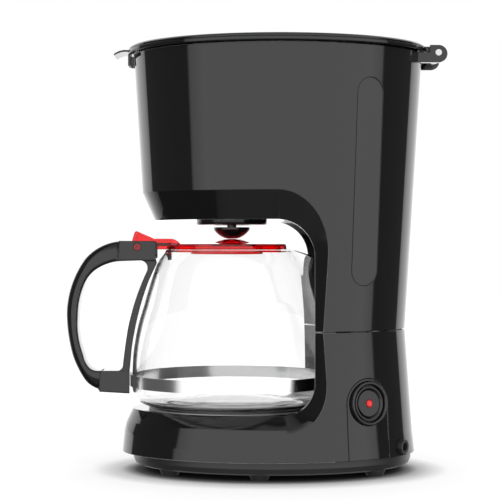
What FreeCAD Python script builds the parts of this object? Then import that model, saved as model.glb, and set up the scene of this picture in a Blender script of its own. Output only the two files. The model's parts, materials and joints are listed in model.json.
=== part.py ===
"""Drip coffee maker with a glass carafe, as a parametric FreeCAD document.

Millimetres, +Z up. The origin is on the surface that the feet stand on, under the middle of the
whole object. +X points to the rear, where the lid is hinged; the carafe handle points to -X.
"""
import FreeCAD
import Part
import Sketcher
import math
import os

Vector = FreeCAD.Vector
document = FreeCAD.newDocument("DripCoffeeMaker")

# ---------------------------------------------------------------- driving dimensions
driving = {
    # outer shell, elliptical in plan and narrowing downwards to the seam
    "bodyX": 17.1, "rimHeight": 309.5, "rimHalfLength": 108.3, "rimHalfWidth": 86.0,
    "seamHeight": 105.5, "seamHalfLength": 95.4, "seamHalfWidth": 74.0, "seamGap": 0.7,
    "shoulderHeight": 30.0, "shoulderX": 9.9, "shoulderHalfLength": 108.1, "shoulderHalfWidth": 80.0,
    "skirtHeight": 14.5, "skirtX": 10.0, "skirtHalfLength": 109.8, "skirtHalfWidth": 81.0,
    "wall": 2.4,
    # bay that the carafe stands in
    "carafeX": -17.5, "deckHeight": 46.0, "ceilingHeight": 186.0, "bayHalfWidth": 66.0,
    "hollowRadius": 89.0, "topCorner": 27.0, "bottomCorner": 23.0,
    "bevelHeight": 20.7, "bevelDepth": 14.1, "deckBevelHeight": 9.0, "deckBevelDepth": 9.5,
    "headFrontX": -75.3, "deckFrontX": -91.8, "deckMidFrontX": -96.2,
    # bottom pan and feet
    "panX": 12.7, "panHalfLength": 103.8, "panHalfWidth": 75.0, "panBottom": 4.5, "panCorner": 5.0,
    "panWall": 2.2, "footRadius": 7.5, "footSink": 1.5,
    # water tank
    "tankGap": 0.3, "tankWall": 1.8, "tankFloor": 114.0, "tankDrop": 13.5, "tankFront": 20.0,
    "tankFrontRadius": 61.0, "portInset": 27.5, "portY": 30.0, "portRadius": 7.4,
    # gauge window
    "gaugeX": 80.0, "gaugeBottom": 138.0, "gaugeDrop": 22.5, "gaugeWidth": 22.0, "gaugeLedge": 2.3,
    "gaugeDepth": 1.6, "windowThickness": 1.0,
    # power switch
    "buttonX": 81.0, "buttonHeight": 54.4, "buttonRadius": 9.8, "buttonProud": 0.7,
    "bezelRadius": 15.8, "panelRadius": 18.4, "panelGap": 0.45, "ledRadius": 2.7,
    # cord entry
    "glandX": 106.5, "glandHeight": 21.0, "cordRadius": 3.2,
    # top lid and its hinge
    "lidX": 16.9, "lidOverhang": 4.2, "lidSideOverhang": 3.8, "lidLift": 0.7, "lidThickness": 5.8,
    "lidWall": 2.2, "lidLayer": 2.6, "lidGroove": 0.5, "hingeReach": 9.5, "hingeDrop": 0.2,
    "hingePinRadius": 2.35, "earInside": 22.0, "earThickness": 5.0, "earRadius": 6.4,
    # brewing parts
    "basketRadius": 50.0, "basketTop": 247.0, "basketWall": 1.8, "outletRadius": 26.4,
    "outletBottom": 182.8, "outletGap": 1.0, "basketFloor": 187.5, "valveTravel": 3.0, "stemRadius": 3.5,
    "bowlRadius": 13.5, "bowlTop": 181.0, "bowlTip": 172.6,
    # hot plate and heater
    "plateRadius": 62.0, "plateTop": 48.2, "plateThickness": 1.6, "tubeBend": 30.0, "tubeRadius": 5.5,
    "tubeEnd": 65.0, "tubeWall": 1.1, "elementBend": 19.0, "elementRadius": 4.0, "castingInset": 3.9,
    # carafe
    "glassRadius": 74.6, "glassWall": 2.2, "glassBottom": 48.5, "glassTop": 164.2, "mouthRadius": 50.0,
    "bandRadius": 76.0, "bandBottom": 62.6, "bandTop": 71.5, "bandThickness": 0.9, "screwHeight": 66.5,
    "handleHalfWidth": 11.0, "handleReach": -141.3,
    # carafe lid
    "capOffset": 3.7, "capRadius": 45.2, "capStepRadius": 41.1, "capSkirtRadius": 27.3, "capTop": 169.4,
    "capBottom": 161.9, "capFall": 1.0, "capWall": 1.6, "domeTop": 172.4, "domeRadius": 14.6,
    "leverHalfWidth": 8.2, "pivotX": -87.7, "pivotHeight": 166.3, "pivotRadius": 2.6,
    # clearances
    "runningFit": 0.05, "slipFit": 0.3, "tubeClearance": 0.2, "strapClearance": 0.1,
}

sheet = document.addObject("Spreadsheet::Sheet", "Sizes")
for row, (alias, number) in enumerate(driving.items(), start=1):
    sheet.set(f"A{row}", alias)
    sheet.set(f"B{row}", str(number))
    sheet.setAlias(f"B{row}", alias)
document.recompute()


class Size:
    """A dimension: the expression that binds it to the sheet, and its value now."""

    def __init__(self, words, value):
        self.words = words
        self.value = value

    def __add__(self, other):
        return Size(f"({self.words} + {words(other)})", self.value + value(other))

    def __radd__(self, other):
        return Size(f"({words(other)} + {self.words})", value(other) + self.value)

    def __sub__(self, other):
        return Size(f"({self.words} - {words(other)})", self.value - value(other))

    def __rsub__(self, other):
        return Size(f"({words(other)} - {self.words})", value(other) - self.value)

    def __mul__(self, other):
        return Size(f"({self.words} * {words(other)})", self.value * value(other))

    __rmul__ = __mul__

    def __truediv__(self, other):
        return Size(f"({self.words} / {words(other)})", self.value / value(other))

    def __neg__(self):
        return Size(f"(0 - {self.words})", -self.value)


def words(size):
    return size.words if isinstance(size, Size) else repr(float(size))


def value(size):
    return size.value if isinstance(size, Size) else float(size)


def otherSide(longest, side):
    """The third side of a right triangle, from its longest side and one other."""
    return Size(f"sqrt({longest.words} ^ 2 - {side.words} ^ 2)",
                math.sqrt(longest.value ** 2 - side.value ** 2))


def between(low, high, lowAt, highAt, at):
    """The straight-line value at a place between two places."""
    return low + (high - low) * (at - lowAt) / (highAt - lowAt)


def gap(low, high):
    """The length from low to high."""
    return Size("0", 0) + high - low


class Sizes:
    """Every driving dimension by name."""


s = Sizes()
for alias, number in driving.items():
    setattr(s, alias, Size(f"Sizes.{alias}", number))

# sizes that follow the shell and the deck
s.lidHalfLength = s.rimHalfLength + s.lidOverhang
s.lidHalfWidth = s.rimHalfWidth + s.lidSideOverhang
s.lidBottom = s.rimHeight + s.lidLift
s.lidTop = s.lidBottom + s.lidThickness
s.hingeX = s.bodyX + s.rimHalfLength + s.hingeReach
s.hingeHeight = s.rimHeight - s.hingeDrop
s.tankTop = s.rimHeight - s.tankDrop
s.gaugeTop = s.rimHeight - s.gaugeDrop
s.riserTop = s.tankTop - 4
s.sprayHeight = s.tankTop + 6
s.portX = s.bodyX + s.seamHalfLength - s.portInset
s.tubeHeight = s.deckHeight - s.wall - s.tubeRadius - s.tubeClearance
s.strapTop = s.tubeHeight - s.tubeRadius - s.strapClearance
s.capX = s.carafeX - s.capOffset


# ---------------------------------------------------------------- building blocks
def bind(item, **sizes):
    """Bind properties; an underscore in a name stands for a dot."""
    for name, size in sizes.items():
        item.setExpression(name.replace("_", "."), words(size))
    return item


def place(item, x=0, y=0, z=0):
    return bind(item, Placement_Base_x=x, Placement_Base_y=y, Placement_Base_z=z)


def cylinder(name, x, y, z, radius, height):
    return place(bind(document.addObject("Part::Cylinder", name), Radius=radius, Height=height), x, y, z)


def lyingCylinder(name, x, y, z, radius, length, along):
    """A cylinder lying along X or Y from its low end."""
    item = document.addObject("Part::Cylinder", name)
    turn = FreeCAD.Rotation(Vector(0, 0, 1), {"X": Vector(1, 0, 0), "Y": Vector(0, 1, 0)}[along])
    item.Placement = FreeCAD.Placement(Vector(), turn)
    return place(bind(item, Radius=radius, Height=length), x, y, z)


def box(name, lowX, highX, lowY, highY, lowZ, highZ):
    item = document.addObject("Part::Box", name)
    bind(item, Length=gap(lowX, highX), Width=gap(lowY, highY), Height=gap(lowZ, highZ))
    return place(item, lowX, lowY, lowZ)


def cut(name, base, *tools):
    item = document.addObject("Part::Cut", name)
    item.Base = base
    item.Tool = tools[0] if len(tools) == 1 else fuse(name + "Tools", *tools)
    return item


def fuse(name, *pieces):
    item = document.addObject("Part::MultiFuse", name)
    item.Shapes = list(pieces)
    return item


def overlap(name, *pieces):
    item = document.addObject("Part::MultiCommon", name)
    item.Shapes = list(pieces)
    return item


def group(name, pieces):
    item = document.addObject("Part::Compound", name)
    item.Links = list(pieces)
    return item


def ellipse(x, z, halfLength, halfWidth):
    """A level ellipse round the XZ plane, in four arcs."""
    x, z, halfLength, halfWidth = (value(size) for size in (x, z, halfLength, halfWidth))
    if halfLength >= halfWidth:
        curve = Part.Ellipse(Vector(x, 0, z), halfLength, halfWidth)
        start = 0.7
    else:
        curve = Part.Ellipse(Vector(x, halfWidth, z), Vector(x - halfLength, 0, z), Vector(x, 0, z))
        start = 0.7 - math.pi / 2
    quarter = math.pi / 2
    return Part.Wire([curve.toShape(start + quarter * i, start + quarter * (i + 1)) for i in range(4)])


def loft(name, sections):
    """A ruled solid through ellipses, each given as x, z, half length and half width."""
    return feature(name, Part.makeLoft([ellipse(*section) for section in sections], True, True))


def newBody(name):
    body = document.addObject("PartDesign::Body", name)
    return body


def outlineSketch(body, role, loops):
    """A sketch on one of the body's planes.

    Each loop is a list of corners (x, y) or (x, y, sagitta): the sagitta bows the edge that ends at
    that corner, to the left of its direction when positive. Each corner is bound to the sheet.
    """
    sketch = body.newObject("Sketcher::SketchObject", body.Name + "Sketch")
    plane = [item for item in body.Origin.OriginFeatures if item.Role == role][0]
    sketch.AttachmentSupport = (plane, "")
    sketch.MapMode = "FlatFace"
    for corners in loops:
        first = sketch.GeometryCount
        count = len(corners)
        startPoint = []
        for i in range(count):
            here = corners[i]
            ahead = corners[(i + 1) % count]
            start = Vector(value(here[0]), value(here[1]), 0)
            end = Vector(value(ahead[0]), value(ahead[1]), 0)
            sagitta = value(ahead[2]) if len(ahead) > 2 else 0
            if sagitta == 0:
                sketch.addGeometry(Part.LineSegment(start, end), False)
                startPoint.append(1)
                continue
            chord = end - start
            left = Vector(-chord.y, chord.x, 0).normalize()
            arc = Part.Arc(start, (start + end) * 0.5 + left * sagitta, end)
            sketch.addGeometry(arc, False)
            onStart = sketch.getPoint(first + i, 1).distanceToPoint(start) < 1e-6
            startPoint.append(1 if onStart else 2)
        for i in range(count):
            ahead = (i + 1) % count
            endPoint = 3 - startPoint[i]
            sketch.addConstraint(Sketcher.Constraint(
                "Coincident", first + i, endPoint, first + ahead, startPoint[ahead]))
        for i in range(count):
            for kind, size in (("DistanceX", corners[i][0]), ("DistanceY", corners[i][1])):
                index = sketch.addConstraint(Sketcher.Constraint(
                    kind, -1, 1, first + i, startPoint[i], value(size)))
                if isinstance(size, Size):
                    sketch.setExpression(f"Constraints[{index}]", size.words)
            ahead = corners[(i + 1) % count]
            if len(ahead) > 2:
                radius = sketch.Geometry[first + i].Radius
                sketch.addConstraint(Sketcher.Constraint("Radius", first + i, radius))
    return sketch


def turned(name, corners, x=0, y=0, angle=360):
    """A body of revolution about its own Z axis, from corners (radius, height)."""
    body = newBody(name)
    sketch = outlineSketch(body, "XZ_Plane", [corners])
    feature = body.newObject("PartDesign::Revolution", name + "Turn")
    feature.Profile = sketch
    feature.ReferenceAxis = (sketch, ["V_Axis"])
    feature.Angle = angle
    return place(body, x, y, 0)


def pad(name, loops, thickness, role="XZ_Plane", symmetric=True):
    """A flat piece; on XZ_Plane it is symmetric about Y = 0, on XY_Plane it rises from Z = 0."""
    body = newBody(name)
    sketch = outlineSketch(body, role, loops)
    feature = body.newObject("PartDesign::Pad", name + "Pad")
    feature.Profile = sketch
    feature.SideType = "Symmetric" if symmetric else "One side"
    bind(feature, Length=thickness)
    return body


def post(name, x, y, lowZ, highZ, radius):
    return cylinder(name, x, y, lowZ, radius, gap(lowZ, highZ))


def tube(name, x, y, lowZ, highZ, inside, outside):
    return cut(name, post(name + "Outside", x, y, lowZ, highZ, outside),
               post(name + "Inside", x, y, lowZ, highZ, inside))


def slotBlock(name, width, length, depth):
    """A block with half-round ends, long along Z, wide along X, as deep along Y."""
    side = width / 2
    end = length / 2 - side
    bow = side * -0.98
    return pad(name, [[(-side, -end), (side, -end, bow), (side, end), (-side, end, bow)]], depth)


def pipeAlong(name, points, bends, radius):
    """A round bar along straight runs with an arc at each inner point."""
    edges = []
    start = points[0]
    for i in range(1, len(points) - 1):
        before = (points[i - 1] - points[i]).normalize()
        after = (points[i + 1] - points[i]).normalize()
        half = before.getAngle(after) / 2
        reach = bends[i - 1] / math.tan(half)
        enter = points[i] + before * reach
        leave = points[i] + after * reach
        towards = (before + after).normalize()
        middle = points[i] + towards * (bends[i - 1] / math.sin(half) - bends[i - 1])
        if (enter - start).Length > 1e-6:
            edges.append(Part.LineSegment(start, enter).toShape())
        edges.append(Part.Arc(enter, middle, leave).toShape())
        start = leave
    edges.append(Part.LineSegment(start, points[-1]).toShape())
    route = Part.Wire(edges)
    section = Part.Wire([Part.makeCircle(radius, points[0], points[1] - points[0])])
    return route.makePipeShell([section], True, True)


def feature(name, shape):
    item = document.addObject("Part::Feature", name)
    item.Shape = shape
    return item


nodes = []


def node(label, item):
    """Name a finished sub-part; its label names its file."""
    item.Label = label
    nodes.append(item)
    return item


# ---------------------------------------------------------------- housing forms
shellTop = s.rimHeight
bevelTop = s.ceilingHeight + s.bevelHeight
bevelHalfLength = between(s.seamHalfLength, s.rimHalfLength, s.seamHeight, s.rimHeight, bevelTop)
headHalfLength = s.bodyX - s.headFrontX
overrun = 1.25                                   # cutters run this much past the wall they cut
farAway = 220.0


def bayCutter(name, inset, levels):
    """The bay seen from the side, widening outwards through levels (half width, grow x, grow z)."""
    corners = []
    for sideways, growX, growZ in levels:
        centreTop = value(s.ceilingHeight) - value(s.topCorner)
        centreLow = value(s.deckHeight) + value(s.bottomCorner)
        columnX = value(s.carafeX) + math.sqrt(value(s.hollowRadius) ** 2 - value(s.bayHalfWidth) ** 2)
        growX += inset
        growZ += inset
        right = columnX + growX
        top = value(s.ceilingHeight) + growZ
        low = value(s.deckHeight) - growZ
        topX = columnX - value(s.topCorner)
        lowX = columnX - value(s.bottomCorner)
        slant = math.sqrt(0.5)
        topMiddle = (topX + (right - topX) * slant, centreTop + (top - centreTop) * slant)
        lowMiddle = (lowX + (right - lowX) * slant, centreLow - (centreLow - low) * slant)
        corners.append((sideways, topX, lowX, right, top, low, centreTop, centreLow, topMiddle, lowMiddle))

    def wire(level, side):
        sideways, topX, lowX, right, top, low, centreTop, centreLow, topMiddle, lowMiddle = level
        y = side * sideways
        spots = [Vector(-farAway, y, low), Vector(lowX, y, low), Vector(right, y, centreLow),
                 Vector(right, y, centreTop), Vector(topX, y, top), Vector(-farAway, y, top)]
        lowArc = Part.Arc(spots[1], Vector(lowMiddle[0], y, lowMiddle[1]), spots[2])
        topArc = Part.Arc(spots[3], Vector(topMiddle[0], y, topMiddle[1]), spots[4])
        return Part.Wire([Part.LineSegment(spots[0], spots[1]).toShape(), lowArc.toShape(),
                          Part.LineSegment(spots[2], spots[3]).toShape(), topArc.toShape(),
                          Part.LineSegment(spots[4], spots[5]).toShape(),
                          Part.LineSegment(spots[5], spots[0]).toShape()])

    across = [(level, -1) for level in reversed(corners)] + [(level, 1) for level in corners]
    return feature(name, Part.makeLoft([wire(level, side) for level, side in across], True, True))


def hollowCutter(name, inset):
    """The round hollow in the column's front that the carafe backs into."""
    radius = s.hollowRadius + inset
    floor = s.deckHeight - inset
    roof = s.ceilingHeight + inset
    bow = 1 - math.sqrt(0.5)
    lowArc = s.bottomCorner + inset
    topArc = s.topCorner + inset
    lowBow = -(lowArc.value * bow)
    topBow = -(topArc.value * bow)
    corners = [(0, floor), (radius - lowArc, floor), (radius, floor + lowArc, lowBow),
               (radius, roof - topArc), (radius - topArc, roof, topBow), (0, roof)]
    return turned(name, corners, s.carafeX)


def upperForm(name, inset):
    """The upper housing's solid form, with every wall moved in by inset."""
    shell = loft(name + "Shell", [
        (s.bodyX, s.seamHeight + s.seamGap / 2, s.seamHalfLength - inset, s.seamHalfWidth - inset),
        (s.bodyX, shellTop, s.rimHalfLength - inset, s.rimHalfWidth - inset)])
    growLength = (bevelHalfLength - headHalfLength) * overrun
    growWidth = s.bevelDepth * overrun
    cone = loft(name + "Head", [
        (s.bodyX, s.ceilingHeight + inset, headHalfLength - inset, s.bayHalfWidth - inset),
        (s.bodyX, s.ceilingHeight + inset + s.bevelHeight * overrun,
         headHalfLength - inset + growLength, s.bayHalfWidth - inset + growWidth)])
    block = box(name + "Front", -farAway, s.bodyX, -farAway, farAway, 0,
                s.ceilingHeight + inset + s.bevelHeight * overrun)
    front = cut(name + "Under", block, cone)
    slope = s.bevelHeight.value / s.bevelDepth.value
    half = value(s.bayHalfWidth)
    levels = [(half - 1.0, 0, 0), (half, 0, 0), (half + 30, 30 * slope, 30 * slope)]
    bay = bayCutter(name + "Bay", value(inset), levels)
    rear = box(name + "Rear", s.bodyX, farAway, -farAway, farAway, 0, s.rimHeight)
    bayRear = overlap(name + "BayRear", bay, rear)
    return cut(name, shell, front, bayRear, hollowCutter(name + "Hollow", inset))


def lowerForm(name, inset):
    """The lower housing's solid form, with every wall moved in by inset."""
    shell = loft(name + "Shell", [
        (s.skirtX, s.skirtHeight, s.skirtHalfLength - inset, s.skirtHalfWidth - inset),
        (s.shoulderX, s.shoulderHeight, s.shoulderHalfLength - inset, s.shoulderHalfWidth - inset),
        (s.bodyX, s.seamHeight - s.seamGap / 2, s.seamHalfLength - inset, s.seamHalfWidth - inset)])
    middle = s.deckHeight - s.deckBevelHeight
    steep = (s.bevelHeight - s.deckBevelHeight) / (s.bevelDepth - s.deckBevelDepth)
    reach = 12.0
    deck = loft(name + "Deck", [
        (s.bodyX, middle - inset - steep * reach, s.bodyX - s.deckMidFrontX - inset + reach,
         s.bayHalfWidth + s.deckBevelDepth - inset + reach),
        (s.bodyX, middle - inset, s.bodyX - s.deckMidFrontX - inset,
         s.bayHalfWidth + s.deckBevelDepth - inset),
        (s.bodyX, s.deckHeight - inset, s.bodyX - s.deckFrontX - inset, s.bayHalfWidth - inset)])
    block = box(name + "Front", -farAway, s.bodyX, -farAway, farAway,
                middle - inset - steep * reach, s.seamHeight + 5)
    over = cut(name + "Over", block, deck)
    rise = s.bevelHeight.value / s.bevelDepth.value
    half = value(s.bayHalfWidth)
    first = value(s.deckBevelDepth)
    levels = [(half - 1.0, 0, 0), (half, 0, 0), (half + first, first * rise, value(s.deckBevelHeight)),
              (half + first + reach, (first + reach) * rise,
               value(s.deckBevelHeight) + reach * value(steep))]
    bay = bayCutter(name + "Bay", value(inset), levels)
    rear = box(name + "Rear", s.bodyX, farAway, -farAway, farAway, -50, s.rimHeight)
    bayRear = overlap(name + "BayRear", bay, rear)
    return cut(name, shell, over, bayRear, hollowCutter(name + "Hollow", inset))



upperOuter = upperForm("UpperOuter", Size("0", 0))
upperInner = upperForm("UpperInner", s.wall)
lowerOuter = lowerForm("LowerOuter", Size("0", 0))
lowerInner = lowerForm("LowerInner", s.wall)


def wallSpot(x, z):
    """Where the near wall stands at a place: its y, and how far it faces to the rear."""
    x = value(x)
    z = value(z)
    if z > s.seamHeight.value:
        low = (s.seamHeight, s.bodyX, s.seamHalfLength, s.seamHalfWidth)
        high = (s.rimHeight, s.bodyX, s.rimHalfLength, s.rimHalfWidth)
    elif z > s.shoulderHeight.value:
        low = (s.shoulderHeight, s.shoulderX, s.shoulderHalfLength, s.shoulderHalfWidth)
        high = (s.seamHeight, s.bodyX, s.seamHalfLength, s.seamHalfWidth)
    else:
        low = (s.skirtHeight, s.skirtX, s.skirtHalfLength, s.skirtHalfWidth)
        high = (s.shoulderHeight, s.shoulderX, s.shoulderHalfLength, s.shoulderHalfWidth)
    share = (z - low[0].value) / (high[0].value - low[0].value)
    centre, length, width = (low[i].value + (high[i].value - low[i].value) * share for i in (1, 2, 3))
    y = -width * math.sqrt(1 - ((x - centre) / length) ** 2)
    turn = math.degrees(math.atan2((x - centre) / length ** 2, -y / width ** 2))
    lean = math.degrees(math.atan((low[3].value - high[3].value) / (high[0].value - low[0].value)))
    return y, turn, lean


def onWall(item, x, z, sink=0):
    """Stand a piece on the near wall, its -Y side outwards, sunk in by a distance."""
    y, turn, lean = wallSpot(x, z)
    rotation = (FreeCAD.Rotation(Vector(0, 0, 1), turn) * FreeCAD.Rotation(Vector(1, 0, 0), -lean))
    spot = Vector(value(x), y, value(z)) + rotation.multVec(Vector(0, value(sink), 0))
    item.Placement = FreeCAD.Placement(spot, rotation)
    return item


# ---------------------------------------------------------------- casing
def makeUpperHousing():
    middle = (s.gaugeBottom + s.gaugeTop) / 2
    length = gap(s.gaugeBottom, s.gaugeTop)
    recess = onWall(slotBlock("GaugeRecess", s.gaugeWidth, length, s.gaugeDepth * 2), s.gaugeX, middle)
    slot = onWall(slotBlock("GaugeSlot", s.gaugeWidth - s.gaugeLedge * 2, length - s.gaugeLedge * 2, 30),
                  s.gaugeX, middle)
    outlet = post("OutletHole", s.carafeX, 0, s.ceilingHeight - 5, s.ceilingHeight + 10,
                  s.outletRadius + s.outletGap)
    shell = cut("UpperShell", upperOuter, upperInner, recess, slot, outlet)
    ears = []
    for side, name in ((1, "Far"), (-1, "Near")):
        low = s.earInside if side > 0 else -s.earInside - s.earThickness
        arm = box(name + "EarArm", s.bodyX + s.rimHalfLength - 7.3, s.hingeX, low, low + s.earThickness,
                  s.hingeHeight - s.earRadius - 1, s.rimHeight - 0.1)
        lug = box(name + "EarLug", s.hingeX - s.earRadius, s.hingeX, low, low + s.earThickness,
                  s.rimHeight - 1, s.hingeHeight + s.earRadius - 1)
        eye = lyingCylinder(name + "EarEye", s.hingeX, low, s.hingeHeight - 1, s.earRadius,
                            s.earThickness, "Y")
        ears.append(fuse(name + "Ear", arm, lug, eye))
    nib = box("LatchNib", s.bodyX - s.rimHalfLength - 1.8, s.bodyX - s.rimHalfLength + 2, -2, 2,
              s.rimHeight - 9, s.rimHeight - 0.5)
    whole = fuse("UpperWhole", shell, nib, *ears)
    pinHole = lyingCylinder("EarPinHole", s.hingeX, -s.earInside - s.earThickness - 1, s.hingeHeight,
                            s.hingePinRadius + s.runningFit, (s.earInside + s.earThickness + 1) * 2, "Y")
    return node("upper_housing", cut("UpperHousing", whole, pinHole))


def makeGaugeWindow():
    middle = (s.gaugeBottom + s.gaugeTop) / 2
    length = gap(s.gaugeBottom, s.gaugeTop)
    plate = slotBlock("WindowPlate", s.gaugeWidth - s.slipFit * 2, length - s.slipFit * 2, 0.9)
    onWall(plate, s.gaugeX, middle, s.gaugeDepth - 0.5)
    pane = slotBlock("WindowPane", s.gaugeWidth - s.gaugeLedge * 2 - s.slipFit * 2,
                     length - s.gaugeLedge * 2 - s.slipFit * 2, s.windowThickness)
    onWall(pane, s.gaugeX, middle, s.gaugeDepth - 0.2 + s.windowThickness / 2)
    return node("water_gauge_window", fuse("GaugeWindow", plate, pane))


def archBlock(name, radius):
    """The switch panel's outline: a half-round top over sides that run down past the skirt."""
    low = s.skirtHeight - s.buttonHeight - 5
    bow = radius * -0.98
    block = pad(name, [[(-radius, low), (radius, low), (radius, 0), (-radius, 0, bow)]], 24)
    return onWall(block, s.buttonX, s.buttonHeight)


strapBossY = s.plateRadius + 2.2
strapX = s.carafeX - 4
panPosts = [(-81.5, 0), (30, 60), (30, -60), (102, 0)]


def seamTab(name, angle):
    """A locating tab inside the seam, rooted in the lower wall and clear of the upper one."""
    inset = s.wall + s.slipFit
    x = value(s.bodyX) + value(s.seamHalfLength - inset) * math.cos(angle)
    y = value(s.seamHalfWidth - inset) * math.sin(angle)
    turn = math.degrees(math.atan2(math.sin(angle) / value(s.seamHalfWidth),
                                   math.cos(angle) / value(s.seamHalfLength)))
    blade = box(name + "Blade", -2, 0, -7, 7, s.seamHeight - 9, s.seamHeight + 5)
    root = box(name + "Root", -2, 1.4, -7, 7, s.seamHeight - 9, s.seamHeight - 2)
    for item in (blade, root):
        facing = FreeCAD.Rotation(Vector(0, 0, 1), turn)
        low = Vector(-2, -7, s.seamHeight.value - 9)
        item.setExpression("Placement.Base.x", None)
        item.setExpression("Placement.Base.y", None)
        item.setExpression("Placement.Base.z", None)
        item.Placement = FreeCAD.Placement(Vector(x, y, 0) + facing.multVec(low), facing)
    return fuse(name, blade, root)


def makeLowerHousing():
    shell = cut("LowerShell", lowerOuter, lowerInner)
    tabs = [seamTab(f"SeamTab{i}", math.radians(angle)) for i, angle in enumerate((-52, -26, 0, 26, 52))]
    low = s.panBottom + s.panWall + s.slipFit
    props = [post(f"PanPost{i}", x, y, low, s.deckHeight + 8, 3.6) for i, (x, y) in enumerate(panPosts[:3])]
    rearX, rearY = panPosts[3]
    props.append(post("PanPostRear", rearX, rearY, low, s.deckHeight - 8, 3.6))
    props += [post(f"StrapBoss{i}", strapX, y, s.strapTop, s.deckHeight, 3.6)
              for i, y in enumerate((-strapBossY, strapBossY))]
    props.append(box("PanRib", rearX, rearX + 30, -1.5, 1.5, s.skirtHeight + 3, s.deckHeight - 8))
    trimmed = overlap("PropsInside", fuse("Props", *props), lowerForm("PropLimit", Size("1", 1.0)))
    feet = [post(f"PanPostFoot{i}", x, y, low, s.skirtHeight + 4, 3.6) for i, (x, y) in enumerate(panPosts)]
    whole = fuse("LowerWhole", shell, trimmed, *feet, *tabs)
    holes = [post(f"StrapHole{i}", strapX, y, s.strapTop - 1, s.strapTop + 9, 1.3)
             for i, y in enumerate((-strapBossY, strapBossY))]
    holes += [post(f"PanHole{i}", x, y, s.panBottom, s.panBottom + 16, 1.4)
              for i, (x, y) in enumerate(panPosts)]
    plateHole = post("PlateHole", s.carafeX, 0, s.deckHeight - 10, s.deckHeight + 10, s.plateRadius - 2)
    arch = archBlock("PanelOpening", s.panelRadius)
    gland = glandBar("GlandHole", s.cordRadius + 2 + s.slipFit, 30)
    return node("lower_housing", cut("LowerHousing", whole, plateHole, arch, gland, *holes))


def glandBar(name, radius, length):
    """A bar through the rear near wall where the cord comes out."""
    y, turn, lean = wallSpot(s.glandX, s.glandHeight)
    outwards = FreeCAD.Rotation(Vector(0, 0, 1), turn) * FreeCAD.Rotation(Vector(1, 0, 0), 90)
    item = document.addObject("Part::Cylinder", name)
    bind(item, Radius=radius, Height=length)
    start = Vector(s.glandX.value, y, s.glandHeight.value) - outwards.multVec(Vector(0, 0, length / 2))
    item.Placement = FreeCAD.Placement(start, outwards)
    return item


def makeCordGland():
    barrel = glandBar("GlandBarrel", s.cordRadius + 2, 13)
    flange = glandBar("GlandFlange", s.cordRadius + 3.3, 2)
    outwards = flange.Placement.Rotation
    barrel.Placement.Base = barrel.Placement.Base + outwards.multVec(Vector(0, 0, -3.5))
    flange.Placement.Base = flange.Placement.Base + outwards.multVec(Vector(0, 0, -5.2))
    return node("cord_gland", cut("CordGland", fuse("GlandWhole", barrel, flange),
                                  glandBar("GlandBore", s.cordRadius, 40)))


def makeSwitchPanel():
    shell = cut("PanelShell", lowerOuter, lowerInner)
    panel = overlap("PanelPiece", shell, archBlock("PanelArch", s.panelRadius - s.panelGap))
    hole = onButtonAxis("BezelHole", [(0, -20), (s.bezelRadius + s.slipFit, -20),
                                      (s.bezelRadius + s.slipFit, 20), (0, 20)])
    return node("switch_panel", cut("SwitchPanel", panel, hole))


def onButtonAxis(name, corners):
    """A round piece on the button's axis, from corners (radius, height above the wall)."""
    body = turned(name, corners)
    body.setExpression("Placement.Base.x", None)
    body.setExpression("Placement.Base.y", None)
    body.setExpression("Placement.Base.z", None)
    y, turn, lean = wallSpot(s.buttonX, s.buttonHeight)
    rotation = (FreeCAD.Rotation(Vector(0, 0, 1), turn) * FreeCAD.Rotation(Vector(1, 0, 0), -lean)
                * FreeCAD.Rotation(Vector(1, 0, 0), 90))
    body.Placement = FreeCAD.Placement(Vector(s.buttonX.value, y, s.buttonHeight.value), rotation)
    return body


def makeSwitch():
    hole = s.buttonRadius + s.slipFit
    outside = s.bezelRadius
    bezel = onButtonAxis("SwitchBezel", [
        (hole, -7), (outside, -7), (outside, 1.4), (outside - 1.3, 2.3, -0.35), (outside - 2.4, 1.6, -0.25),
        (outside - 2.9, -0.4), (outside - 3.4, -0.4), (outside - 3.6, 0.9), (hole + 0.9, 0.9),
        (hole, 0.1, 0.2)])
    node("switch_bezel", bezel)
    top = s.buttonProud
    radius = s.buttonRadius
    node("power_button", onButtonAxis("PowerButton", [
        (s.ledRadius + 0.1, top - 3), (s.ledRadius + 0.1, top), (radius - 0.8, top), (radius, top - 0.8, 0.2),
        (radius, -5), (radius - 1.8, -5), (radius - 1.8, top - 1.8), (3.4, top - 1.8), (3.4, -10.5),
        (0, -10.5),
        (0, top - 3)]))
    node("led_lens", onButtonAxis("LedLens", [
        (0, top - 2.9), (s.ledRadius, top - 2.9), (s.ledRadius, top + 0.1),
        (s.ledRadius - 0.8, top + 0.7, -0.15), (0, top + 0.7)]))
    case = onButtonAxis("SwitchCase", [
        (3.6, -16), (3.6, -9), (9.5, -9), (9.5, -19), (0, -19), (0, -16)])
    node("switch_module", case)


# ---------------------------------------------------------------- underside
def panPlate(name, inset, lowZ, highZ):
    return loft(name, [(s.panX, lowZ, s.panHalfLength - inset, s.panHalfWidth - inset),
                       (s.panX, highZ, s.panHalfLength - inset, s.panHalfWidth - inset)])


feet = [(-62, 36), (-62, -36), (3, 60), (3, -60), (87, 38), (87, -38)]


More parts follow.
